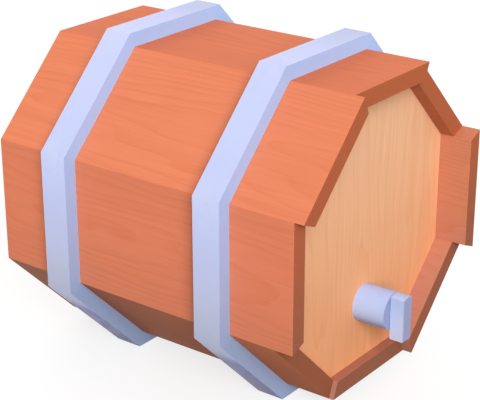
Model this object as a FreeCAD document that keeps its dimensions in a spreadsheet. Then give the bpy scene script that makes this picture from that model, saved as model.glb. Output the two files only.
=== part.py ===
import FreeCAD, Part
import Sketcher
import os

# A small octagonal cask that lies on its side, with two thick hoops and a rotary tap in its front head.
# Lengths are in millimetres. X runs to the right seen from the front, Y from the front to the rear, Z up.
# The origin is under the middle of the whole object, on the surface that it rests on.

os.makedirs("parts", exist_ok=True)
doc = FreeCAD.newDocument("cask")

STAVES = (
    ("stave_top", "top_setback"),
    ("stave_upper_right", "upper_right_setback"),
    ("stave_right", None),
    ("stave_lower_right", "lower_right_setback"),
    ("stave_bottom", "bottom_setback"),
    ("stave_lower_left", "lower_left_setback"),
    ("stave_left", "left_setback"),
    ("stave_upper_left", None),
)
STAVE_TURN = 360 / len(STAVES)
MITRE = STAVE_TURN / 2

# Driving sizes. A stave's setback is how far its front end lies behind those of the two foremost staves,
# the right one and the upper left one.
SIZES = {
    "flats_across": 310,
    "stave_thickness": 17,
    "stave_length": 365,
    "top_setback": 10,
    "left_setback": 10,
    "lower_left_setback": 30,
    "bottom_setback": 25,
    "lower_right_setback": 15,
    "upper_right_setback": 20,
    "croze_depth": 5,
    "croze_width": 8,
    "stave_dowel_radius": 2.5,
    "stave_dowel_length": 20,
    "stave_dowel_inset": 110,
    "stave_dowel_cover": 10.5,
    "head_thickness": 18,
    "front_recess": 35,
    "rear_recess": 25,
    "head_gap": 0.2,
    "middle_board_width": 96,
    "head_dowel_radius": 4,
    "head_dowel_length": 40,
    "head_dowel_height": 95,
    "hoop_width": 30,
    "hoop_height": 15,
    "hoop_wall": 3,
    "front_hoop_setback": 80,
    "rear_hoop_setback": 70,
    "hoop_joint_gap": 0.6,
    "splice_length": 60,
    "rivet_radius": 3,
    "rivet_head_radius": 5,
    "rivet_head_depth": 2,
    "rivet_offset": 15,
    "tap_drop": 77.5,
    "tap_length": 35,
    "tap_radius": 19,
    "tap_front_wall": 6,
    "chamber_radius": 12,
    "shank_head_radius": 15,
    "shank_head_depth": 8,
    "shank_radius": 10,
    "shank_tail": 4,
    "shank_hole_gap": 0.3,
    "waterway_radius": 5,
    "outlet_socket_radius": 6,
    "outlet_socket_depth": 5,
    "gasket_thickness": 2,
    "washer_radius": 17,
    "washer_thickness": 2,
    "nut_flats": 30,
    "nut_thickness": 8,
    "plug_end_gap": 0.3,
    "stem_radius": 7,
    "seal_radius": 1,
    "seal_inset": 2,
    "tang_width": 9,
    "tang_length": 10,
    "lever_gap": 0.5,
    "lever_thickness": 15,
    "lever_width": 15,
    "lever_foot_width": 14,
    "lever_drop": 27,
    "lever_pin_radius": 1.5,
    "edge_ease": 0.6,
    "bung_rise": 75,
    "bung_radius": 15,
    "bung_tip_radius": 13.5,
    "bung_head_radius": 18,
    "bung_head_length": 12,
    "bung_tail": 4,
    "fit_gap": 0.1,
    "running_gap": 0.05,
    "overrun": 5,
}

# Places and sizes that follow from the driving ones.
PLACES = {
    # Half flats of the octagons, and half the side of each
    "outer_half": "Sizes.flats_across / 2",
    "inner_half": "outer_half - Sizes.stave_thickness",
    "croze_half": "inner_half + Sizes.croze_depth",
    "outer_side": f"outer_half * tan({MITRE})",
    "inner_side": f"inner_half * tan({MITRE})",
    "hoop_half": "outer_half + Sizes.hoop_height",
    "hoop_side": f"hoop_half * tan({MITRE})",
    "web_half": "hoop_half - Sizes.hoop_wall",
    "web_side": f"web_half * tan({MITRE})",
    "board_half": "inner_half - Sizes.head_gap",
    "board_side": f"board_half * tan({MITRE})",
    "tongue_half": "croze_half - Sizes.head_gap",
    "tongue_side": f"tongue_half * tan({MITRE})",
    # Along the cask, from the foremost stave ends
    "stave_span": "2 * outer_side + Sizes.overrun",
    "croze_inset": "(Sizes.head_thickness - Sizes.croze_width) / 2",
    "front_croze_start": "Sizes.front_recess + croze_inset",
    "front_croze_end": "front_croze_start + Sizes.croze_width",
    "rear_head_outside": "Sizes.stave_length - Sizes.rear_recess",
    "rear_head_start": "rear_head_outside - Sizes.head_thickness",
    "rear_croze_start": "rear_head_start + croze_inset",
    "rear_croze_end": "rear_croze_start + Sizes.croze_width",
    "groove_mouth": "inner_half - Sizes.overrun",
    "rear_hoop_start": "Sizes.stave_length - Sizes.rear_hoop_setback - Sizes.hoop_width",
    # The whole object in its frame
    "lever_reach": "Sizes.tap_length - Sizes.front_recess + Sizes.lever_gap + Sizes.lever_thickness",
    "front_y": "(lever_reach - Sizes.stave_length) / 2",
    "front_head_y": "front_y + Sizes.front_recess",
    "rear_head_y": "front_y + rear_head_start",
    "front_hoop_y": "front_y + Sizes.front_hoop_setback + Sizes.hoop_width / 2",
    "rear_hoop_y": "front_y + rear_hoop_start + Sizes.hoop_width / 2",
    "bung_y": "front_y + rear_head_outside",
    "axis_z": "hoop_half",
    "tap_z": "axis_z - Sizes.tap_drop",
    "bung_z": "axis_z + Sizes.bung_rise",
    # Dowels in the mitred edges of the staves
    "dowel_reach": f"(outer_half - Sizes.stave_dowel_cover) / cos({MITRE})",
    "rear_dowel_place": "Sizes.stave_length - Sizes.stave_dowel_inset",
    "stave_dowel_hole_radius": "Sizes.stave_dowel_radius + Sizes.fit_gap",
    "stave_dowel_hole_depth": "Sizes.stave_dowel_length / 2 + Sizes.fit_gap",
    # Head boards
    "board_edge": "Sizes.middle_board_width / 2",
    "head_middle": "Sizes.head_thickness / 2",
    "head_dowel_hole_radius": "Sizes.head_dowel_radius + Sizes.fit_gap",
    "head_dowel_hole_depth": "Sizes.head_dowel_length / 2 + Sizes.fit_gap",
    "shank_hole_radius": "Sizes.shank_radius + Sizes.shank_hole_gap",
    "head_through": "2 * (Sizes.head_thickness + Sizes.overrun)",
    # Hoops
    "channel_width": "Sizes.hoop_width - 2 * Sizes.hoop_wall",
    "joint_half": "Sizes.hoop_joint_gap / 2",
    "joint_reach": "hoop_half + Sizes.overrun",
    "joint_start": "outer_half - Sizes.overrun",
    "joint_width": "Sizes.hoop_width + Sizes.overrun",
    "splice_half": "Sizes.splice_length / 2",
    "rivet_neck": "hoop_half - Sizes.rivet_head_depth",
    # The tap, along its axis from the head's front face, forward being negative
    "tap_front_ease": "Sizes.tap_length - Sizes.edge_ease",
    "tap_rim_radius": "Sizes.tap_radius - Sizes.edge_ease",
    "stem_hole_radius": "Sizes.stem_radius + Sizes.running_gap",
    "chamber_front": "Sizes.tap_length - Sizes.tap_front_wall",
    "chamber_rear": "Sizes.shank_head_depth + Sizes.gasket_thickness",
    "outlet_place": "(chamber_front + chamber_rear) / 2",
    "outlet_reach": "Sizes.tap_radius + Sizes.overrun",
    "outlet_shoulder": "Sizes.tap_radius - Sizes.outlet_socket_depth",
    "shank_head_rim": "Sizes.shank_head_radius - Sizes.fit_gap",
    "gasket_hole_radius": "Sizes.shank_radius + Sizes.fit_gap",
    "washer_end": "Sizes.head_thickness + Sizes.washer_thickness",
    "nut_end": "washer_end + Sizes.nut_thickness",
    "shank_end": "nut_end + Sizes.shank_tail",
    "nut_half": "Sizes.nut_flats / 2",
    "nut_corner": "nut_half / cos(30)",
    "nut_side": "nut_corner / 2",
    # The plug that turns in the tap
    "plug_radius": "Sizes.chamber_radius - Sizes.running_gap",
    "plug_front": "chamber_front - Sizes.plug_end_gap",
    "plug_rear": "chamber_rear + Sizes.plug_end_gap",
    "plug_bore_end": "outlet_place + Sizes.waterway_radius",
    "front_seal_place": "plug_front - Sizes.seal_inset",
    "rear_seal_place": "plug_rear + Sizes.seal_inset",
    "seal_groove_half": "Sizes.seal_radius + Sizes.fit_gap",
    "front_groove_start": "front_seal_place + seal_groove_half",
    "front_groove_end": "front_seal_place - seal_groove_half",
    "rear_groove_start": "rear_seal_place + seal_groove_half",
    "rear_groove_end": "rear_seal_place - seal_groove_half",
    "seal_ring_radius": "plug_radius - Sizes.seal_radius",
    "seal_groove_radius": "seal_ring_radius - seal_groove_half",
    "stem_end": "Sizes.tap_length + Sizes.lever_gap",
    # The lever and its pin
    "tang_half": "Sizes.tang_width / 2",
    "tang_middle": "stem_end + Sizes.tang_length / 2",
    "socket_half": "tang_half + Sizes.fit_gap",
    "socket_depth": "Sizes.tang_length + Sizes.fit_gap",
    "lever_half": "Sizes.lever_width / 2",
    "lever_foot_half": "Sizes.lever_foot_width / 2",
    "lever_pin_hole_radius": "Sizes.lever_pin_radius + Sizes.fit_gap",
    "lever_pin_length": "lever_half - Sizes.edge_ease + tang_half",
    "pin_hole_reach": "Sizes.lever_width + Sizes.overrun",
    # The bung, along its axis from the rear head's outside face
    "bung_neck_radius": "Sizes.bung_radius - Sizes.running_gap",
    "bung_end_radius": "Sizes.bung_tip_radius - Sizes.running_gap",
    "bung_end": "Sizes.head_thickness + Sizes.bung_tail",
    "bung_hole_far": "Sizes.head_thickness + Sizes.overrun",
    "bung_head_ease": "Sizes.bung_head_length - Sizes.edge_ease",
    "bung_rim_radius": "Sizes.bung_head_radius - Sizes.edge_ease",
}


def fill_sheet(name, cells):
    sheet = doc.addObject("Spreadsheet::Sheet", name)
    for row, (alias, content) in enumerate(cells.items(), start=1):
        sheet.set(f"A{row}", alias)
        sheet.set(f"B{row}", content)
        sheet.setAlias(f"B{row}", alias)
    return sheet


sizes = fill_sheet("Sizes", {alias: str(value) for alias, value in SIZES.items()})
places = fill_sheet("Places", {alias: "=" + formula for alias, formula in PLACES.items()})
doc.recompute()


def cell(name):
    alias = name.lstrip("-")
    if alias in SIZES:
        return f"Sizes.{alias}"
    return f"Places.{alias}"


def number(name):
    if name == "0":
        return 0.0
    alias = name.lstrip("-")
    sheet = sizes if alias in SIZES else places
    value = float(getattr(sheet, alias))
    return -value if name.startswith("-") else value


def bind(feature, field, name):
    sign = "-" if name.startswith("-") else ""
    feature.setExpression(field, sign + cell(name))


def new_body(name, y_place, z_place, turn=0):
    body = doc.addObject("PartDesign::Body", name)
    body.Label = name
    body.Placement = FreeCAD.Placement(
        FreeCAD.Vector(0, 0, 0), FreeCAD.Rotation(FreeCAD.Vector(0, 1, 0), turn)
    )
    bind(body, "Placement.Base.y", y_place)
    bind(body, "Placement.Base.z", z_place)
    return body


def origin_feature(body, role):
    for feature in body.Origin.OriginFeatures:
        if feature.Role == role:
            return feature
    raise ValueError(role)


def new_sketch(body, name, plane, shift=None, tilt=0):
    # A sketch on one of the body's own planes, moved in the sketch's own directions
    # and tilted about its first axis
    sketch = body.newObject("Sketcher::SketchObject", name)
    sketch.AttachmentSupport = (origin_feature(body, plane), [""])
    sketch.MapMode = "FlatFace"
    sketch.AttachmentOffset = FreeCAD.Placement(
        FreeCAD.Vector(0, 0, 0), FreeCAD.Rotation(FreeCAD.Vector(1, 0, 0), tilt)
    )
    for direction, place in (shift or {}).items():
        bind(sketch, f"AttachmentOffset.Base.{direction}", place)
    return sketch


def hold(sketch, geometry, vertex, direction, place):
    # Fixes one coordinate of a vertex to a named place, measured from the sketch's origin
    if place == "0":
        axis = -2 if direction == "X" else -1
        sketch.addConstraint(Sketcher.Constraint("PointOnObject", geometry, vertex, axis))
        return
    ends = (-1, 1, geometry, vertex)
    if place.startswith("-"):
        ends = (geometry, vertex, -1, 1)
    distance = abs(number(place))
    index = sketch.addConstraint(Sketcher.Constraint("Distance" + direction, *ends, distance))
    sketch.setExpression(f"Constraints[{index}]", cell(place))


def polygon(sketch, points):
    first = sketch.GeometryCount
    corners = [FreeCAD.Vector(number(x), number(y), 0) for x, y in points]
    count = len(corners)
    for i in range(count):
        sketch.addGeometry(Part.LineSegment(corners[i], corners[(i + 1) % count]), False)
    for i in range(count):
        after = first + (i + 1) % count
        sketch.addConstraint(Sketcher.Constraint("Coincident", first + i, 2, after, 1))
    for i, (x, y) in enumerate(points):
        hold(sketch, first + i, 1, "X", x)
        hold(sketch, first + i, 1, "Y", y)


def circle(sketch, radius, x="0", y="0"):
    centre = FreeCAD.Vector(number(x), number(y), 0)
    index = sketch.addGeometry(Part.Circle(centre, FreeCAD.Vector(0, 0, 1), number(radius)), False)
    hold(sketch, index, 3, "X", x)
    hold(sketch, index, 3, "Y", y)
    constraint = sketch.addConstraint(Sketcher.Constraint("Radius", index, number(radius)))
    sketch.setExpression(f"Constraints[{constraint}]", cell(radius))


def volume(body):
    doc.recompute()
    return body.Shape.Volume


def pad(body, sketch, length, direction="ahead"):
    # Ahead is along the sketch's normal, and both is half the length each way
    feature = body.newObject("PartDesign::Pad", sketch.Name + "_pad")
    feature.Profile = sketch
    feature.SideType = "Symmetric" if direction == "both" else "One side"
    feature.Reversed = direction == "back"
    bind(feature, "Length", length)
    doc.recompute()
    return feature


def pocket(body, sketch, length, direction="back"):
    before = volume(body)
    feature = body.newObject("PartDesign::Pocket", sketch.Name + "_cut")
    feature.Profile = sketch
    feature.SideType = "Symmetric" if direction == "both" else "One side"
    feature.Reversed = direction == "ahead"
    bind(feature, "Length", length)
    if volume(body) >= before:
        raise ValueError(f"{feature.Name} cuts nothing")
    return feature


def revolve(body, sketch):
    feature = body.newObject("PartDesign::Revolution", sketch.Name + "_turned")
    feature.Profile = sketch
    feature.ReferenceAxis = (sketch, ["H_Axis"])
    feature.Angle = 360
    doc.recompute()
    return feature


def groove(body, sketch):
    before = volume(body)
    feature = body.newObject("PartDesign::Groove", sketch.Name + "_cut")
    feature.Profile = sketch
    feature.ReferenceAxis = (sketch, ["H_Axis"])
    feature.Angle = 360
    if volume(body) >= before:
        raise ValueError(f"{feature.Name} cuts nothing")
    return feature


def mirror(body, original, plane):
    feature = body.newObject("PartDesign::Mirrored", original.Name + "_mirrored")
    feature.Originals = [original]
    feature.MirrorPlane = (origin_feature(body, plane), [""])
    body.Tip = feature
    doc.recompute()
    return feature


def turned(name, points, y_place, z_place):
    body = new_body(name, y_place, z_place)
    sketch = new_sketch(body, name + "_profile", "YZ_Plane")
    polygon(sketch, points)
    revolve(body, sketch)
    return body


def octagon(side, half):
    quarter = [(side, half), (half, side)]
    right = quarter + [(x, "-" + y) for x, y in reversed(quarter)]
    return right + [("-" + x, y) for x, y in reversed(right)]


def rectangle(left, right, low, high):
    return [(left, low), (right, low), (right, high), (left, high)]


# Staves: a mitred board with a croze groove across its inside near each end, and dowel holes in both edges

def stave(name, turn, setback):
    body = new_body(name, "front_y", "axis_z", turn)
    shift = {"z": "-" + setback} if setback else None
    section = new_sketch(body, name + "_section", "XZ_Plane", shift)
    outside = [("-outer_side", "outer_half"), ("outer_side", "outer_half")]
    inside = [("inner_side", "inner_half"), ("-inner_side", "inner_half")]
    polygon(section, outside + inside)
    board = pad(body, section, "stave_length", "back")
    if setback:
        board.setExpression("Length", f"Sizes.stave_length - Sizes.{setback}")
    crozes = new_sketch(body, name + "_crozes", "YZ_Plane")
    polygon(crozes, rectangle("front_croze_start", "front_croze_end", "groove_mouth", "croze_half"))
    polygon(crozes, rectangle("rear_croze_start", "rear_croze_end", "groove_mouth", "croze_half"))
    pocket(body, crozes, "stave_span", "both")
    for side, tilt, direction in (("right", MITRE, "back"), ("left", -MITRE, "ahead")):
        holes = new_sketch(body, f"{name}_{side}_holes", "YZ_Plane", tilt=tilt)
        for place in ("stave_dowel_inset", "rear_dowel_place"):
            circle(holes, "stave_dowel_hole_radius", place, "dowel_reach")
        pocket(body, holes, "stave_dowel_hole_depth", direction)
    return body


def stave_dowels(name):
    body = new_body(name, "front_y", "axis_z")
    pins = new_sketch(body, name + "_pins", "YZ_Plane", tilt=MITRE)
    for place in ("stave_dowel_inset", "rear_dowel_place"):
        circle(pins, "stave_dowel_radius", place, "dowel_reach")
    pair = pad(body, pins, "stave_dowel_length", "both")
    pattern = body.newObject("PartDesign::PolarPattern", name + "_pattern")
    pattern.Originals = [pair]
    pattern.Axis = (origin_feature(body, "Y_Axis"), [""])
    pattern.Angle = 360
    pattern.Occurrences = len(STAVES)
    body.Tip = pattern
    doc.recompute()
    return body


# Heads: three boards, each with a thinner tongue round its rim that sits in the crozes

def side_outline(side, half, left):
    upper = [("board_edge", half), (side, half), (half, side)]
    points = upper + [(x, "-" + y) for x, y in reversed(upper)]
    if left:
        return [("-" + x, y) for x, y in points]
    return points


def board_outline(part, which):
    side, half = f"{part}_side", f"{part}_half"
    if which == "middle":
        return rectangle("-board_edge", "board_edge", "-" + half, half)
    return side_outline(side, half, which == "left")


def head_board(head, which, y_place):
    name = f"{head}_{which}"
    body = new_body(name, y_place, "axis_z")
    panel = new_sketch(body, name + "_panel", "XZ_Plane")
    polygon(panel, board_outline("board", which))
    pad(body, panel, "head_thickness", "back")
    tongue = new_sketch(body, name + "_tongue", "XZ_Plane", {"z": "-croze_inset"})
    polygon(tongue, board_outline("tongue", which))
    pad(body, tongue, "croze_width", "back")
    joints = {
        "left": (("-board_edge", "back"),),
        "middle": (("-board_edge", "ahead"), ("board_edge", "back")),
        "right": (("board_edge", "ahead"),),
    }
    for index, (edge, direction) in enumerate(joints[which]):
        holes = new_sketch(body, f"{name}_holes_{index}", "YZ_Plane", {"z": edge})
        for height in ("head_dowel_height", "-head_dowel_height"):
            circle(holes, "head_dowel_hole_radius", "head_middle", height)
        pocket(body, holes, "head_dowel_hole_depth", direction)
    return body


def head_dowels(head, y_place):
    name = head + "_dowels"
    body = new_body(name, y_place, "axis_z")
    pins = new_sketch(body, name + "_pins", "YZ_Plane", {"z": "board_edge"})
    for height in ("head_dowel_height", "-head_dowel_height"):
        circle(pins, "head_dowel_radius", "head_middle", height)
    right = pad(body, pins, "head_dowel_length", "both")
    mirror(body, right, "YZ_Plane")
    return body


def shank_hole(board):
    hole = new_sketch(board, "shank_hole", "XZ_Plane")
    circle(hole, "shank_hole_radius", "0", "-tap_drop")
    pocket(board, hole, "head_through", "both")


def bung_hole(board):
    hole = new_sketch(board, "bung_hole", "YZ_Plane", {"x": "head_thickness", "y": "bung_rise"})
    mouth = [("-bung_hole_far", "0"), ("overrun", "0"), ("overrun", "bung_radius"), ("0", "bung_radius")]
    tip = [("-head_thickness", "bung_tip_radius"), ("-bung_hole_far", "bung_tip_radius")]
    polygon(hole, mouth + tip)
    groove(board, hole)


# Hoops: channel bent round the eight flats, joined on the right flat over a splice bar with two rivets

def rivet_profile(body, name):
    sketch = new_sketch(body, name + "_rivet", "XZ_Plane", {"y": "rivet_offset"})
    head = [("outer_half", "0"), ("hoop_half", "0"), ("hoop_half", "rivet_head_radius")]
    shank = [("rivet_neck", "rivet_radius"), ("outer_half", "rivet_radius")]
    polygon(sketch, head + shank)
    return sketch


def rivet_holes(body, name):
    upper = groove(body, rivet_profile(body, name))
    mirror(body, upper, "XY_Plane")


def hoop(name, y_place):
    body = new_body(name, y_place, "axis_z")
    band = new_sketch(body, name + "_band", "XZ_Plane")
    polygon(band, octagon("hoop_side", "hoop_half"))
    polygon(band, octagon("outer_side", "outer_half"))
    pad(body, band, "hoop_width", "both")
    channel = new_sketch(body, name + "_channel", "XZ_Plane")
    polygon(channel, octagon("web_side", "web_half"))
    pocket(body, channel, "channel_width", "both")
    joint = new_sketch(body, name + "_joint", "XZ_Plane")
    polygon(joint, rectangle("joint_start", "joint_reach", "-joint_half", "joint_half"))
    pocket(body, joint, "joint_width", "both")
    rivet_holes(body, name)
    return body


def hoop_splice(name, y_place):
    body = new_body(name, y_place, "axis_z")
    bar = new_sketch(body, name + "_bar", "XZ_Plane")
    polygon(bar, rectangle("outer_half", "web_half", "-splice_half", "splice_half"))
    pad(body, bar, "channel_width", "both")
    rivet_holes(body, name)
    return body


def hoop_rivets(name, y_place):
    body = new_body(name, y_place, "axis_z")
    upper = revolve(body, rivet_profile(body, name))
    mirror(body, upper, "XY_Plane")
    return body


# Tap: everything turned about its own axis, forward being negative from the head's front face

def tap_body(name):
    front = [
        ("-tap_length", "stem_hole_radius"),
        ("-tap_length", "tap_rim_radius"),
        ("-tap_front_ease", "tap_radius"),
    ]
    rear = [("0", "tap_radius"), ("0", "shank_head_radius"), ("-chamber_rear", "shank_head_radius")]
    chamber = [
        ("-chamber_rear", "chamber_radius"),
        ("-chamber_front", "chamber_radius"),
        ("-chamber_front", "stem_hole_radius"),
    ]
    body = turned(name, front + rear + chamber, "front_head_y", "tap_z")
    outlet = new_sketch(body, "tap_outlet", "XY_Plane")
    circle(outlet, "waterway_radius", "0", "-outlet_place")
    pocket(body, outlet, "outlet_reach")
    socket = new_sketch(body, "tap_outlet_socket", "XY_Plane", {"z": "-outlet_shoulder"})
    circle(socket, "outlet_socket_radius", "0", "-outlet_place")
    pocket(body, socket, "outlet_reach")
    return body


def tap_shank(name):
    head = [
        ("-chamber_rear", "waterway_radius"),
        ("-chamber_rear", "shank_head_rim"),
        ("-gasket_thickness", "shank_head_rim"),
        ("-gasket_thickness", "shank_radius"),
    ]
    tail = [("shank_end", "shank_radius"), ("shank_end", "waterway_radius")]
    return turned(name, head + tail, "front_head_y", "tap_z")


def ring(name, start, end, hole, rim):
    return turned(name, rectangle(start, end, hole, rim), "front_head_y", "tap_z")


def tap_nut(name):
    body = new_body(name, "front_head_y", "tap_z")
    sketch = new_sketch(body, name + "_hexagon", "XZ_Plane", {"z": "-washer_end"})
    upper = [("nut_corner", "0"), ("nut_side", "nut_half"), ("-nut_side", "nut_half")]
    lower = [("-nut_corner", "0"), ("-nut_side", "-nut_half"), ("nut_side", "-nut_half")]
    polygon(sketch, upper + lower)
    circle(sketch, "gasket_hole_radius")
    pad(body, sketch, "nut_thickness", "back")
    return body


def plug_profile():
    rear = [
        ("-plug_rear", "waterway_radius"),
        ("-plug_rear", "plug_radius"),
        ("-rear_groove_end", "plug_radius"),
        ("-rear_groove_end", "seal_groove_radius"),
        ("-rear_groove_start", "seal_groove_radius"),
        ("-rear_groove_start", "plug_radius"),
    ]
    front = [
        ("-front_groove_end", "plug_radius"),
        ("-front_groove_end", "seal_groove_radius"),
        ("-front_groove_start", "seal_groove_radius"),
        ("-front_groove_start", "plug_radius"),
        ("-plug_front", "plug_radius"),
        ("-plug_front", "stem_radius"),
    ]
    stem = [("-stem_end", "stem_radius"), ("-stem_end", "0")]
    bore = [("-plug_bore_end", "0"), ("-plug_bore_end", "waterway_radius")]
    return rear + front + stem + bore


def tap_plug(name):
    # Its side port points right while the tap is shut, and down once the lever has swung a quarter turn
    body = turned(name, plug_profile(), "front_head_y", "tap_z")
    tang = new_sketch(body, "plug_tang", "XZ_Plane", {"z": "stem_end"})
    polygon(tang, rectangle("-tang_half", "tang_half", "-tang_half", "tang_half"))
    pad(body, tang, "tang_length")
    port = new_sketch(body, "plug_port", "YZ_Plane")
    circle(port, "waterway_radius", "-outlet_place", "0")
    pocket(body, port, "outlet_reach", "ahead")
    pin_hole = new_sketch(body, "plug_pin_hole", "YZ_Plane")
    circle(pin_hole, "lever_pin_hole_radius", "-tang_middle", "0")
    pocket(body, pin_hole, "pin_hole_reach", "both")
    return body


def tap_seals(name):
    body = new_body(name, "front_head_y", "tap_z")
    sketch = new_sketch(body, name + "_rings", "YZ_Plane")
    circle(sketch, "seal_radius", "-front_seal_place", "seal_ring_radius")
    circle(sketch, "seal_radius", "-rear_seal_place", "seal_ring_radius")
    revolve(body, sketch)
    return body


def lever_outline(sketch):
    # A bar that narrows a little to its foot, and whose top follows the round of the tap's body
    radius = number("tap_radius")
    foot = FreeCAD.Vector(number("lever_foot_half"), -number("lever_drop"), 0)
    shoulder_x = number("lever_half")
    shoulder = FreeCAD.Vector(shoulder_x, (radius**2 - shoulder_x**2) ** 0.5, 0)
    foot_left = FreeCAD.Vector(-foot.x, foot.y, 0)
    shoulder_left = FreeCAD.Vector(-shoulder.x, shoulder.y, 0)
    top = FreeCAD.Vector(0, radius, 0)
    sketch.addGeometry(Part.LineSegment(foot_left, foot), False)
    sketch.addGeometry(Part.LineSegment(foot, shoulder), False)
    sketch.addGeometry(Part.Arc(shoulder, top, shoulder_left), False)
    sketch.addGeometry(Part.LineSegment(shoulder_left, foot_left), False)
    sketch.addConstraint(Sketcher.Constraint("Coincident", 0, 2, 1, 1))
    sketch.addConstraint(Sketcher.Constraint("Coincident", 1, 2, 2, 1))
    sketch.addConstraint(Sketcher.Constraint("Coincident", 2, 2, 3, 1))
    sketch.addConstraint(Sketcher.Constraint("Coincident", 3, 2, 0, 1))
    sketch.addConstraint(Sketcher.Constraint("Coincident", 2, 3, -1, 1))
    size = sketch.addConstraint(Sketcher.Constraint("Radius", 2, radius))
    sketch.setExpression(f"Constraints[{size}]", "Sizes.tap_radius")
    hold(sketch, 0, 1, "X", "-lever_foot_half")
    hold(sketch, 0, 1, "Y", "-lever_drop")
    hold(sketch, 0, 2, "X", "lever_foot_half")
    hold(sketch, 0, 2, "Y", "-lever_drop")
    hold(sketch, 1, 2, "X", "lever_half")
    hold(sketch, 3, 1, "X", "-lever_half")


def front_edges(feature):
    # Names of the edges that lie whole in the feature's foremost plane
    limit = feature.Shape.BoundBox.YMin
    names = []
    for index, edge in enumerate(feature.Shape.Edges, start=1):
        if abs(edge.BoundBox.YMax - limit) < number("fit_gap"):
            names.append(f"Edge{index}")
    return names


def tap_lever(name):
    body = new_body(name, "front_head_y", "tap_z")
    sketch = new_sketch(body, name + "_outline", "XZ_Plane", {"z": "stem_end"})
    lever_outline(sketch)
    bar = pad(body, sketch, "lever_thickness")
    ease = body.newObject("PartDesign::Chamfer", name + "_ease")
    ease.Base = (bar, front_edges(bar))
    bind(ease, "Size", "edge_ease")
    doc.recompute()
    socket = new_sketch(body, name + "_socket", "XZ_Plane", {"z": "stem_end"})
    polygon(socket, rectangle("-socket_half", "socket_half", "-socket_half", "socket_half"))
    pocket(body, socket, "socket_depth", "ahead")
    pin_hole = new_sketch(body, name + "_pin_hole", "YZ_Plane")
    circle(pin_hole, "lever_pin_hole_radius", "-tang_middle", "0")
    pocket(body, pin_hole, "pin_hole_reach", "ahead")
    return body


def tap_lever_pin(name):
    body = new_body(name, "front_head_y", "tap_z")
    sketch = new_sketch(body, name + "_round", "YZ_Plane", {"z": "-tang_half"})
    circle(sketch, "lever_pin_radius", "-tang_middle", "0")
    pad(body, sketch, "lever_pin_length")
    return body


def bung(name):
    tail = [("-bung_end", "0"), ("-bung_end", "bung_end_radius"), ("-head_thickness", "bung_end_radius")]
    neck = [("0", "bung_neck_radius"), ("0", "bung_head_radius")]
    knob = [
        ("bung_head_ease", "bung_head_radius"),
        ("bung_head_length", "bung_rim_radius"),
        ("bung_head_length", "0"),
    ]
    return turned(name, tail + neck + knob, "bung_y", "bung_z")


nodes = [stave(name, STAVE_TURN * i, setback) for i, (name, setback) in enumerate(STAVES)]
nodes.append(stave_dowels("stave_dowels"))
for head, y_place in (("front_head", "front_head_y"), ("rear_head", "rear_head_y")):
    boards = {which: head_board(head, which, y_place) for which in ("left", "middle", "right")}
    if head == "front_head":
        shank_hole(boards["middle"])
    else:
        bung_hole(boards["middle"])
    nodes.extend(boards.values())
    nodes.append(head_dowels(head, y_place))
for name, y_place in (("front_hoop", "front_hoop_y"), ("rear_hoop", "rear_hoop_y")):
    nodes.append(hoop(name, y_place))
    nodes.append(hoop_splice(name + "_splice", y_place))
    nodes.append(hoop_rivets(name + "_rivets", y_place))
nodes.append(tap_body("tap_body"))
nodes.append(tap_shank("tap_shank"))
nodes.append(ring("tap_gasket", "-gasket_thickness", "0", "gasket_hole_radius", "shank_head_rim"))
nodes.append(ring("tap_washer", "head_thickness", "washer_end", "shank_hole_radius", "washer_radius"))
nodes.append(tap_nut("tap_nut"))
nodes.append(tap_plug("tap_plug"))
nodes.append(tap_seals("tap_seals"))
nodes.append(tap_lever("tap_lever"))
nodes.append(tap_lever_pin("tap_lever_pin"))
nodes.append(bung("bung"))
doc.recompute()

for feature in doc.Objects:
    if "Invalid" in feature.State or "Error" in feature.State:
        raise ValueError(f"{feature.Name} failed: {feature.State}")
for node in nodes:
    if node.Shape.isNull() or not node.Shape.isValid():
        raise ValueError(f"{node.Label} has no valid shape")
    node.Shape.exportStep(f"parts/{node.Label}.step")
print(f"{len(nodes)} nodes written")
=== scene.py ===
"""Looks of a small octagonal cask: red-brown staves, pale heads, painted hoops and a painted tap."""

import math

import bpy
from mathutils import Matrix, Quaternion, Vector


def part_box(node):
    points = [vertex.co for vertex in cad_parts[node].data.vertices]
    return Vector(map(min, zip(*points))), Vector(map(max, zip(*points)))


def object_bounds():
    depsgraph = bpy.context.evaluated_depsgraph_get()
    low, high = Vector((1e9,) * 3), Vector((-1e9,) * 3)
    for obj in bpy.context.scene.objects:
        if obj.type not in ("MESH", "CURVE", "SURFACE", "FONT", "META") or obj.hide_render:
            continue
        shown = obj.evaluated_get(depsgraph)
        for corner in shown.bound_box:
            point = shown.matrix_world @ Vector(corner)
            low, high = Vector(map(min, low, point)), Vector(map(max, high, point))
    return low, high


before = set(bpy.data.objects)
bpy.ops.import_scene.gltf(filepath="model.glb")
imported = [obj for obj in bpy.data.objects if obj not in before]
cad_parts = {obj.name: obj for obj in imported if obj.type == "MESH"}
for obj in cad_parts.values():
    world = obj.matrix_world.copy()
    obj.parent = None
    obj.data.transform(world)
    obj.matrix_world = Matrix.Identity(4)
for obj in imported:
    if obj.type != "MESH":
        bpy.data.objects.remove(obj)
cad_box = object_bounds()

# Lengths are in metres, in the part's own frame: X right, Y to the rear, Z up
CASK_AXIS_HEIGHT = (cad_box[0].z + cad_box[1].z) / 2

# The camera stands to the front left of the cask and looks down on it
CAMERA_PLACE = Vector((-1.0901, -0.8162, 0.7149))
CAMERA_TARGET = Vector((-0.0029, 0.0087, 0.1643))
CAMERA_ROLL = math.radians(-0.117)
CAMERA_LENS = 108.83
CAMERA_SENSOR = 36.0

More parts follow.
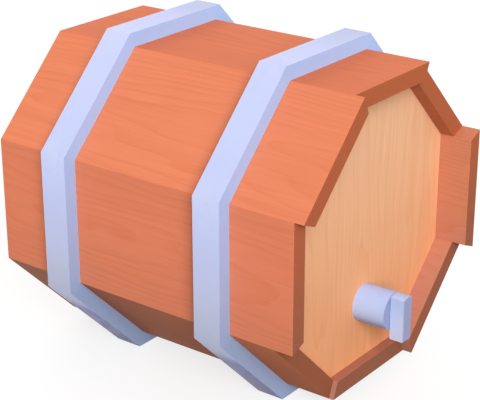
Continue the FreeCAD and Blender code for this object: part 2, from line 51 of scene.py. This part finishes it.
# A soft key lamp, a fill lamp low behind the cask and an even sky, together about 1 on the brightest
# staves. A lamp of strength pi lights a white face that it meets squarely to 1.
KEY_DIRECTION = Vector((0.618, 0.654, -0.436))
KEY_STRENGTH = 0.825 * math.pi
KEY_ANGLE = math.radians(35)
FILL_DIRECTION = Vector((-0.60, -0.77, -0.20))
FILL_STRENGTH = 0.42 * math.pi
FILL_ANGLE = math.radians(60)
SKY_STRENGTH = 0.50
SKY_SEEN_STRENGTH = 1.0

# The floor looks nearly white, with the cask's shadow on it, but sends little light back
FLOOR_ALBEDO = 0.15
FLOOR_SEEN_ALBEDO = 0.32
FLOOR_SEEN_GLOW = 0.74
FLOOR_SIZE = 40.0
FLOOR_DROP = 0.0002

# Staves in turn about the cask's axis: node, tint of the board, and where its log's middle lay. The tints of
# the left, lower left and bottom staves are painted light and shade for the way each stave faces: lighter on
# the left stave, darker on the lower left one and less red on the bottom one.
STAVES = (
    ("stave_top", (1.00, 1.00, 1.00), 0.012, -0.085),
    ("stave_upper_right", (0.98, 0.98, 0.98), -0.020, -0.110),
    ("stave_right", (1.00, 1.00, 1.00), 0.030, -0.095),
    ("stave_lower_right", (0.99, 0.99, 0.99), -0.010, -0.120),
    ("stave_bottom", (0.94, 1.02, 1.06), 0.025, -0.090),
    ("stave_lower_left", (0.94, 0.93, 0.84), -0.030, -0.105),
    ("stave_left", (1.07, 1.06, 1.15), 0.008, -0.115),
    ("stave_upper_left", (1.00, 1.00, 1.03), -0.015, -0.100),
)
STAVE_TURN = math.tau / len(STAVES)
HEAD_BOARDS = ("left", "middle", "right")
HEAD_PITH = (0.010, 0.090)
BAMBOO_PITH = (0.0, -0.050)
BUNG_PITH = (0.004, 0.200)
UPRIGHT_GRAIN = (math.radians(90), 0, 0)

# A colour is given low and high on the cask, with the two heights between which it changes. This change is
# painted shade and light: the wood and the hoops' side faces get darker towards the bottom, the hoops' outer
# paint gets lighter there, and the tap's and lever's paint is bluer at the top, against the orange light
# that the wood throws on it.
FACE_HEIGHTS = (0.04, 0.19)
END_HEIGHTS = (0.08, 0.28)
HEAD_HEIGHTS = (0.03, 0.29)
HOOP_HEIGHTS = (0.10, 0.20)
FLANGE_HEIGHTS = (0.06, 0.26)
TAP_HEIGHTS = (0.085, 0.108)
# The stave end colours are darker partly as real end grain is and partly as painted shade; the inside
# colours are painted shade for the faces in the recess behind the head and between the staves.
STAVE_COLOURS = {
    "face": ((0.62, 0.205, 0.108), (0.81, 0.243, 0.117), FACE_HEIGHTS),
    "end": ((0.33, 0.106, 0.054), (0.50, 0.128, 0.048), END_HEIGHTS),
    "inside": ((0.54, 0.230, 0.158), (0.66, 0.252, 0.142), FACE_HEIGHTS),
}
HEAD_COLOURS = {
    "face": ((0.87, 0.380, 0.180), (0.97, 0.550, 0.320), HEAD_HEIGHTS),
    "end": ((0.58, 0.270, 0.120), (0.62, 0.300, 0.140), HEAD_HEIGHTS),
    "inside": ((0.80, 0.360, 0.175), (0.86, 0.430, 0.230), HEAD_HEIGHTS),
}
PLAIN_COLOURS = {
    "face": ((0.77, 0.385, 0.180), (0.80, 0.410, 0.195), HEAD_HEIGHTS),
    "end": ((0.62, 0.300, 0.135), (0.65, 0.320, 0.150), HEAD_HEIGHTS),
    "inside": ((0.77, 0.385, 0.180), (0.80, 0.410, 0.195), HEAD_HEIGHTS),
}
# Paint for the hoops' outsides, lighter low on the cask as painted light on the lower sides of the hoops
PAINT = ((0.700, 0.740, 0.990), (0.585, 0.640, 0.940), HOOP_HEIGHTS)
# The hoops' faces square to the cask's axis take darker, bluer paint than their outsides: painted shade
FLANGE_SHADED_PAINT = ((0.345, 0.450, 0.700), (0.425, 0.600, 0.970), FLANGE_HEIGHTS)
TAP_PAINT = ((0.510, 0.660, 0.990), (0.470, 0.620, 0.990), TAP_HEIGHTS)
# Darker paint for the tap's and lever's faces square to the cask's axis: painted shade
TAP_SHADED_FACE_PAINT = ((0.325, 0.350, 0.570), (0.325, 0.350, 0.570), TAP_HEIGHTS)
LEVER_PAINT = ((0.625, 0.730, 0.990), (0.500, 0.650, 0.990), TAP_HEIGHTS)
WORN_PAINT = (0.70, 0.76, 0.98)
BRASS = (0.72, 0.50, 0.20)
STEEL = (0.42, 0.44, 0.50)
RUBBER = (0.035, 0.035, 0.04)

# Tints, each a share of the colour under it. The late wood tint is the grain's own colour; the others are
# painted light and shade on faces that look up and down: darker tops on the wood, lighter tops on the paint,
# and darker undersides on both
NO_TINT = (1.0, 1.0, 1.0)
LATE_WOOD_TINT = (0.96, 0.90, 0.84)
WOOD_TOP_PAINTED_SHADE = (0.95, 0.83, 0.75)
WOOD_UNDERSIDE_PAINTED_SHADE = (0.84, 0.76, 0.63)
PAINT_TOP_PAINTED_LIGHT = (1.06, 1.03, 1.05)
PAINT_UNDERSIDE_PAINTED_SHADE = (0.45, 0.45, 0.72)
TAP_UNDERSIDE_PAINTED_SHADE = (0.53, 0.76, 1.00)

# The two readings of a face's normal between which its colour comes in. The readings for faces up, down,
# inward and along the cask pick out where painted light and shade go; the end grain reading picks out end
# grain, which is darker partly by painted shade
FACES_UP = (0.85, 0.98)
FACES_DOWN = (-0.50, -0.65)
ROUNDS_DOWN = (-0.15, -0.90)
FACES_INWARD = (-0.25, -0.36)
FACES_ALONG_CASK = (0.35, 0.85)
END_GRAIN = (0.75, 0.90)
ARRIS_TURN = (0.995, 0.90)

# Noises, as scale, detail and roughness; three scales are across, along and through the grain
BOARD_NOISE = ((9.0, 1.6, 9.0), 3.0, 0.5)
STREAK_NOISE = ((120.0, 3.0, 120.0), 2.0, 0.5)
FIBRE_NOISE = ((900.0, 14.0, 900.0), 2.0, 0.6)
MOTTLE_NOISE = (14.0, 2.0, 0.5)
CLOUD_NOISE = (9.0, 3.0, 0.5)
GRIME_NOISE = (60.0, 4.0, 0.65)
PEEL_NOISE = (700.0, 1.0, 0.5)
GROUND_NOISE = ((300.0, 300.0, 300.0), 3.0, 0.6)
TURNED_NOISE = ((300.0, 1500.0, 300.0), 3.0, 0.6)
TARNISH_NOISE = (120.0, 3.0, 0.5)
RUBBER_CLOUD_NOISE = (80.0, 3.0, 0.5)
RUBBER_GRAIN_NOISE = (900.0, 2.0, 0.5)
NOISE_SPAN = (0.3, 0.7)

# How far a noise makes the colour lighter and darker, over its whole reach
FIBRE_REACH = 0.16
STREAK_REACH = 0.12
MOTTLE_REACH = 0.08
CLOUD_REACH = 0.06
GRIME_REACH = 0.05
TARNISH_REACH = 0.2
RUBBER_REACH = 0.5

# Year rings, and how much of their own height they add to the fibres
RING_PITCH = 0.0032
RING_WAVER = 0.05
RING_DARKENING = 2.5
RING_EDGE = (1.0, 0.93)
RING_HEIGHT = 0.35

# Arrises: how wide they are worn, where along them, and how much
WOOD_ARRIS = 0.0012
WOOD_WORN_SPAN = (0.35, 0.65)
WOOD_WEAR = (0.1, 0.4)
PAINT_ARRIS = 0.0010
PAINT_WORN_SPAN = (0.35, 0.60)
HOOP_WEAR = 0.4
TAP_WEAR = 0.12

# Arrises that turn by more than an angle are eased, once the flats are made whole
EASE_WIDTH = 0.0006
ANY_ARRIS = math.radians(35)
SQUARE_ARRIS = math.radians(60)
FLAT_WITHIN = math.radians(0.5)
WELD_WITHIN = 0.00001

# Roughness from the smoothest to the roughest spot, gloss, and relief as its depth and strength
WOOD_ROUGHNESS = (0.52, 0.64)
PAINT_ROUGHNESS = (0.38, 0.50)
STEEL_ROUGHNESS = (0.30, 0.45)
BRASS_ROUGHNESS = (0.25, 0.40)
RUBBER_ROUGHNESS = (0.60, 0.75)
WOOD_GLOSS = 0.1
PAINT_GLOSS = 0.3
WOOD_RELIEF = (0.0002, 0.5)
PAINT_RELIEF = (0.00008, 0.3)
METAL_RELIEF = (0.00005, 0.3)
RUBBER_RELIEF = (0.0001, 0.3)


# Node trees

class Nodes:
    """A node tree, with short ways to add the nodes that the finishes and the surroundings share."""

    def __init__(self, tree):
        self.tree = tree
        self.tree.nodes.clear()

    def node(self, kind, sockets=None, **fields):
        made = self.tree.nodes.new(kind)
        for field, value in fields.items():
            setattr(made, field, value)
        self.fill(made, sockets or {})
        return made

    def fill(self, made, sockets):
        for socket, value in sockets.items():
            self.put(made.inputs[socket], value)

    def put(self, socket, value):
        """Links another node's output to a socket, or sets the socket's own value."""
        if isinstance(value, bpy.types.NodeSocket):
            self.tree.links.new(value, socket)
        elif isinstance(value, tuple) and len(value) == 3 and socket.type == "RGBA":
            socket.default_value = (*value, 1.0)
        else:
            socket.default_value = value

    def maths(self, operation, first, second=0.0, third=0.0):
        made = self.node("ShaderNodeMath", {0: first, 1: second, 2: third}, operation=operation)
        return made.outputs[0]

    def vector_maths(self, operation, first, second):
        made = self.node("ShaderNodeVectorMath", {0: first, 1: second}, operation=operation)
        return made.outputs[0]

    def seen(self):
        """1 for what is seen straight, in a reflection or through something clear, and 0 for light."""
        path = self.node("ShaderNodeLightPath")
        both = self.maths("MAXIMUM", path.outputs["Is Camera Ray"], path.outputs["Is Glossy Ray"])
        return self.maths("MAXIMUM", both, path.outputs["Is Transmission Ray"])


class Finish(Nodes):
    """A procedural material; its coordinates and normals stay with the piece in every pose."""

    def __init__(self, name):
        self.material = bpy.data.materials.new(name)
        self.material.use_nodes = True
        super().__init__(self.material.node_tree)
        self.shader = self.node("ShaderNodeBsdfPrincipled")
        self.node("ShaderNodeOutputMaterial", {"Surface": self.shader.outputs[0]})
        coordinates = self.node("ShaderNodeTexCoord")
        self.here = coordinates.outputs["Object"]
        self.facing = coordinates.outputs["Normal"]

    def split(self, vector):
        return self.node("ShaderNodeSeparateXYZ", {0: vector}).outputs

    def spread(self, value, low, high, to_low=0.0, to_high=1.0):
        sockets = {"Value": value, "From Min": low, "From Max": high, "To Min": to_low, "To Max": to_high}
        return self.node("ShaderNodeMapRange", sockets, interpolation_type="SMOOTHSTEP").outputs[0]

    def turned(self, vector, turn, place=(0, 0, 0)):
        """The vector in a frame that stands at place and is turned by turn."""
        sockets = {"Vector": vector, "Location": place, "Rotation": turn}
        return self.node("ShaderNodeMapping", sockets, vector_type="TEXTURE").outputs[0]

    def moved(self, vector, distance):
        return self.vector_maths("ADD", vector, (distance,) * 3)

    def noise(self, vector, scale, detail, roughness):
        if isinstance(scale, tuple):
            vector = self.node("ShaderNodeMapping", {"Vector": vector, "Scale": scale}).outputs[0]
            scale = 1.0
        sockets = {"Vector": vector, "Scale": scale, "Detail": detail, "Roughness": roughness}
        return self.node("ShaderNodeTexNoise", sockets).outputs["Fac"]

    def varied(self, level, value, reach):
        """The level made higher and lower by a noise value, by half the reach each way."""
        return self.maths("MULTIPLY_ADD", self.maths("SUBTRACT", value, 0.5), reach, level)

    def mixed(self, share, first, second):
        made = self.node("ShaderNodeMix", {"Factor": share, 6: first, 7: second}, data_type="RGBA")
        return made.outputs[2]

    def tinted(self, colour, tint):
        return self.vector_maths("MULTIPLY", colour, tint)

    def shaded(self, colour, tone):
        """The colour made lighter or darker by a tone about 1."""
        return self.node("ShaderNodeVectorMath", {0: colour, 3: tone}, operation="SCALE").outputs[0]

    def by_height(self, low, high, heights):
        """A colour that goes from low to high between two heights."""
        height = self.split(self.here)[2]
        return self.mixed(self.spread(height, *heights), low, high)

    def lit_and_shaded_by_facing(self, colour, above, underside_shade, down=FACES_DOWN):
        """The colour with painted light and shade: tinted on the faces that look up and on those that look
        down.
        """
        upward = self.split(self.facing)[2]
        colour = self.tinted(colour, self.mixed(self.spread(upward, *FACES_UP), NO_TINT, above))
        return self.tinted(colour, self.mixed(self.spread(upward, *down), NO_TINT, underside_shade))

    def arris(self, width, samples=4):
        """1 along the edges of the piece, and 0 on its flats."""
        bevel = self.node("ShaderNodeBevel", {"Radius": width}, samples=samples)
        geometry = self.node("ShaderNodeNewGeometry")
        sockets = {0: bevel.outputs[0], 1: geometry.outputs["True Normal"]}
        alike = self.node("ShaderNodeVectorMath", sockets, operation="DOT_PRODUCT").outputs["Value"]
        return self.spread(alike, *ARRIS_TURN)

    def finish(self, sockets, height, relief):
        """The material, once its shader has these sockets and its surface a fine relief."""
        depth, strength = relief
        bump = self.node("ShaderNodeBump", {"Height": height, "Distance": depth, "Strength": strength})
        self.fill(self.shader, {**sockets, "Normal": bump.outputs[0]})
        return self.material


# Wood

def rings(make, here, pith, waver):
    """Year rings round the log's middle: 0 in the pale early wood, 1 in the dark late wood."""
    x, _, z = make.split(here)
    across = make.maths("SUBTRACT", x, pith[0])
    above = make.maths("SUBTRACT", z, pith[1])
    squares = make.maths("ADD", make.maths("MULTIPLY", across, across), make.maths("MULTIPLY", above, above))
    radius = make.maths("MULTIPLY_ADD", waver, RING_WAVER, make.maths("SQRT", squares))
    ring = make.maths("FRACT", make.maths("DIVIDE", radius, RING_PITCH))
    return make.maths("MULTIPLY", make.maths("POWER", ring, RING_DARKENING), make.spread(ring, *RING_EDGE))


def wood(name, colours, pith, seed, place=(0, 0, 0), turn=(0, 0, 0), tint=NO_TINT):
    """Sawn and planed wood, with the grain along the second axis of a frame that stands at place."""
    make = Finish(name)
    here = make.turned(make.here, turn, place)
    shifted = make.moved(here, seed)
    late = rings(make, here, pith, make.noise(shifted, *BOARD_NOISE))
    fibres = make.noise(shifted, *FIBRE_NOISE)
    streaks = make.noise(shifted, *STREAK_NOISE)
    mottle = make.noise(shifted, *MOTTLE_NOISE)

    # The end grain is darker, partly as real end grain is and partly as painted shade; the faces towards the
    # cask's inside are duller and darker as painted shade, in the recess behind the head and in the joints
    # between staves
    facing = make.split(make.turned(make.facing, turn))
    is_end = make.spread(make.maths("ABSOLUTE", facing[1]), *END_GRAIN)
    is_inside = make.spread(facing[2], *FACES_INWARD)
    face, end, inside = (make.by_height(*colours[part]) for part in ("face", "end", "inside"))
    colour = make.mixed(is_end, make.mixed(is_inside, face, inside), end)
    wear = make.spread(mottle, *WOOD_WORN_SPAN, *WOOD_WEAR)
    colour = make.mixed(make.maths("MULTIPLY", make.arris(WOOD_ARRIS), wear), colour, face)
    colour = make.tinted(colour, make.mixed(late, NO_TINT, LATE_WOOD_TINT))
    # Painted light and shade: the stave's tint and the tints on faces that look up and down
    colour = make.lit_and_shaded_by_facing(make.tinted(colour, tint), WOOD_TOP_PAINTED_SHADE, WOOD_UNDERSIDE_PAINTED_SHADE)

    level = make.varied(1.0, fibres, FIBRE_REACH)
    level = make.varied(level, streaks, STREAK_REACH)
    level = make.varied(level, mottle, MOTTLE_REACH)
    sockets = {
        "Base Color": make.shaded(colour, level),
        "Roughness": make.spread(fibres, *NOISE_SPAN, *WOOD_ROUGHNESS),
        "Specular IOR Level": WOOD_GLOSS,
    }
    height = make.maths("MULTIPLY_ADD", late, RING_HEIGHT, fibres)
    return make.finish(sockets, height, WOOD_RELIEF)


# Paint, metal and rubber

def paint(name, sides, shaded_faces, wear, seed, underside_shade=PAINT_UNDERSIDE_PAINTED_SHADE, down=FACES_DOWN):
    """Satin paint on metal, a little worn along its edges; faces are those square to the cask's axis, which
    take a darker colour as painted shade. The colour also changes with height and with facing up and down,
    as painted light and shade.
    """
    make = Finish(name)
    here = make.moved(make.here, seed)
    cloud = make.noise(here, *CLOUD_NOISE)
    grime = make.noise(here, *GRIME_NOISE)
    peel = make.noise(here, *PEEL_NOISE)
    is_shaded_face = make.spread(make.maths("ABSOLUTE", make.split(make.facing)[1]), *FACES_ALONG_CASK)
    colour = make.mixed(is_shaded_face, make.by_height(*sides), make.by_height(*shaded_faces))
    worn = make.maths("MULTIPLY", make.arris(PAINT_ARRIS), make.spread(grime, *PAINT_WORN_SPAN, 0.0, wear))
    # Painted light and shade on the faces that look up and down
    colour = make.lit_and_shaded_by_facing(make.mixed(worn, colour, WORN_PAINT), PAINT_TOP_PAINTED_LIGHT, underside_shade, down)
    level = make.varied(1.0, cloud, CLOUD_REACH)
    level = make.varied(level, grime, GRIME_REACH)
    sockets = {
        "Base Color": make.shaded(colour, level),
        "Roughness": make.spread(grime, *NOISE_SPAN, *PAINT_ROUGHNESS),
        "Specular IOR Level": PAINT_GLOSS,
    }
    return make.finish(sockets, peel, PAINT_RELIEF)


def metal(name, colour, marks_noise, roughness):
    """Turned or ground metal with fine tool marks."""
    make = Finish(name)
    marks = make.noise(make.here, *marks_noise)
    level = make.varied(1.0, make.noise(make.here, *TARNISH_NOISE), TARNISH_REACH)
    sockets = {
        "Base Color": make.shaded(colour, level),
        "Roughness": make.spread(marks, *NOISE_SPAN, *roughness),
        "Metallic": 1.0,
    }
    return make.finish(sockets, marks, METAL_RELIEF)


def rubber(name):
    make = Finish(name)
    grain = make.noise(make.here, *RUBBER_GRAIN_NOISE)
    level = make.varied(1.0, make.noise(make.here, *RUBBER_CLOUD_NOISE), RUBBER_REACH)
    sockets = {
        "Base Color": make.shaded(RUBBER, level),
        "Roughness": make.spread(grain, *NOISE_SPAN, *RUBBER_ROUGHNESS),
    }
    return make.finish(sockets, grain, RUBBER_RELIEF)


# Work on the pieces

def dress(material, *nodes):
    for node in nodes:
        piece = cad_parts[node]
        piece.data.materials.clear()
        piece.data.materials.append(material)


def ease(node, least_angle):
    """Takes the sharpness off the arrises of a piece that turn by more than an angle."""
    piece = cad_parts[node]
    weld = piece.modifiers.new("weld", "WELD")
    weld.merge_threshold = WELD_WITHIN
    flats = piece.modifiers.new("flats", "DECIMATE")
    flats.decimate_type = "DISSOLVE"
    flats.angle_limit = FLAT_WITHIN
    bevel = piece.modifiers.new("ease", "BEVEL")
    bevel.width = EASE_WIDTH
    bevel.segments = 2
    bevel.limit_method = "ANGLE"
    bevel.angle_limit = least_angle
    return bevel


def soften(node):
    """Lets the flats of a hoop run into each other at its eight bends."""
    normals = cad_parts[node].modifiers.new("soft", "WEIGHTED_NORMAL")
    normals.mode = "FACE_AREA"


def staves():
    place = (0, 0, CASK_AXIS_HEIGHT)
    for index, (node, tint, pith_x, pith_z) in enumerate(STAVES):
        pith = (pith_x, CASK_AXIS_HEIGHT + pith_z)
        turn = (0, index * STAVE_TURN, 0)
        dress(wood(node + "_wood", STAVE_COLOURS, pith, index + 1.0, place, turn, tint), node)
        bevel = ease(node, ANY_ARRIS)
        bevel.harden_normals = True


def heads():
    for first_seed, head in ((10.0, "front_head"), (20.0, "rear_head")):
        for index, side in enumerate(HEAD_BOARDS):
            board = f"{head}_{side}"
            low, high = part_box(board)
            centre = (low + high) / 2
            place = (centre.x, centre.y, 0)
            seed = first_seed + index
            dress(wood(board + "_wood", HEAD_COLOURS, HEAD_PITH, seed, place, UPRIGHT_GRAIN), board)


def dowels_and_bung():
    bamboo = wood("bamboo", PLAIN_COLOURS, BAMBOO_PITH, seed=31.0)
    dress(bamboo, "stave_dowels", "front_head_dowels", "rear_head_dowels")
    dress(wood("bung_wood", PLAIN_COLOURS, BUNG_PITH, seed=37.0), "bung")


def hoops(steel):
    for seed, hoop in ((3.0, "front_hoop"), (4.0, "rear_hoop")):
        rivets = hoop + "_rivets"
        dress(paint(hoop + "_paint", PAINT, FLANGE_SHADED_PAINT, HOOP_WEAR, seed), hoop, hoop + "_splice")
        dress(steel, rivets)
        ease(hoop, SQUARE_ARRIS)
        ease(rivets, SQUARE_ARRIS)
        soften(hoop)


def tap(steel):
    # The undersides of the tap and lever are darker and bluer: painted shade
    painted_underside = (TAP_UNDERSIDE_PAINTED_SHADE, ROUNDS_DOWN)
    dress(paint("tap_paint", TAP_PAINT, TAP_SHADED_FACE_PAINT, TAP_WEAR, 7.0, *painted_underside), "tap_body")
    dress(paint("lever_paint", LEVER_PAINT, TAP_SHADED_FACE_PAINT, TAP_WEAR, 8.0, *painted_underside), "tap_lever")
    dress(steel, "tap_lever_pin")
    brass = metal("brass", BRASS, TURNED_NOISE, BRASS_ROUGHNESS)
    dress(brass, "tap_shank", "tap_plug", "tap_nut", "tap_washer")
    dress(rubber("rubber"), "tap_gasket", "tap_seals")


# Surroundings

def floor():
    half = FLOOR_SIZE / 2
    corners = [(x, y, -FLOOR_DROP) for x, y in ((-half, -half), (half, -half), (half, half), (-half, half))]
    mesh = bpy.data.meshes.new("floor")
    mesh.from_pydata(corners, [], [(0, 1, 2, 3)])
    piece = bpy.data.objects.new("floor", mesh)
    bpy.context.scene.collection.objects.link(piece)
    make = Finish("floor")
    is_seen = make.seen()
    make.fill(make.shader, {
        "Base Color": make.mixed(is_seen, (FLOOR_ALBEDO,) * 3, (FLOOR_SEEN_ALBEDO,) * 3),
        "Roughness": 1.0,
        "Specular IOR Level": 0.0,
        "Emission Color": (1.0, 1.0, 1.0),
        "Emission Strength": make.maths("MULTIPLY", is_seen, FLOOR_SEEN_GLOW),
    })
    mesh.materials.append(make.material)


def sky():
    world = bpy.data.worlds.new("sky")
    bpy.context.scene.world = world
    world.use_nodes = True
    make = Nodes(world.node_tree)
    span = {"Value": make.seen(), "To Min": SKY_STRENGTH, "To Max": SKY_SEEN_STRENGTH}
    strength = make.node("ShaderNodeMapRange", span).outputs[0]
    background = make.node("ShaderNodeBackground", {"Color": (1.0, 1.0, 1.0), "Strength": strength})
    make.node("ShaderNodeOutputWorld", {"Surface": background.outputs[0]})


def lamp(name, direction, strength, angle, shines=True):
    """A soft lamp that is far away; one that doesn't shine leaves no gloss on what it lights."""
    data = bpy.data.lights.new(name, "SUN")
    data.energy = strength
    data.angle = angle
    made = bpy.data.objects.new(name, data)
    made.rotation_mode = "QUATERNION"
    made.rotation_quaternion = direction.to_track_quat("-Z", "Y")
    made.visible_glossy = shines
    bpy.context.scene.collection.objects.link(made)


def camera():
    data = bpy.data.cameras.new("camera")
    data.lens = CAMERA_LENS
    data.sensor_width = CAMERA_SENSOR
    data.clip_end = FLOOR_SIZE
    made = bpy.data.objects.new("camera", data)
    made.location = CAMERA_PLACE
    made.rotation_mode = "QUATERNION"
    aim = (CAMERA_TARGET - CAMERA_PLACE).to_track_quat("-Z", "Y")
    made.rotation_quaternion = aim @ Quaternion((0, 0, 1), CAMERA_ROLL)
    bpy.context.scene.collection.objects.link(made)
    bpy.context.scene.camera = made


staves()
heads()
dowels_and_bung()
bare_steel = metal("steel", STEEL, GROUND_NOISE, STEEL_ROUGHNESS)
hoops(bare_steel)
tap(bare_steel)
floor()
sky()
lamp("key", KEY_DIRECTION, KEY_STRENGTH, KEY_ANGLE)
lamp("fill", FILL_DIRECTION, FILL_STRENGTH, FILL_ANGLE, shines=False)
camera()
bpy.context.scene.view_settings.view_transform = "Standard"
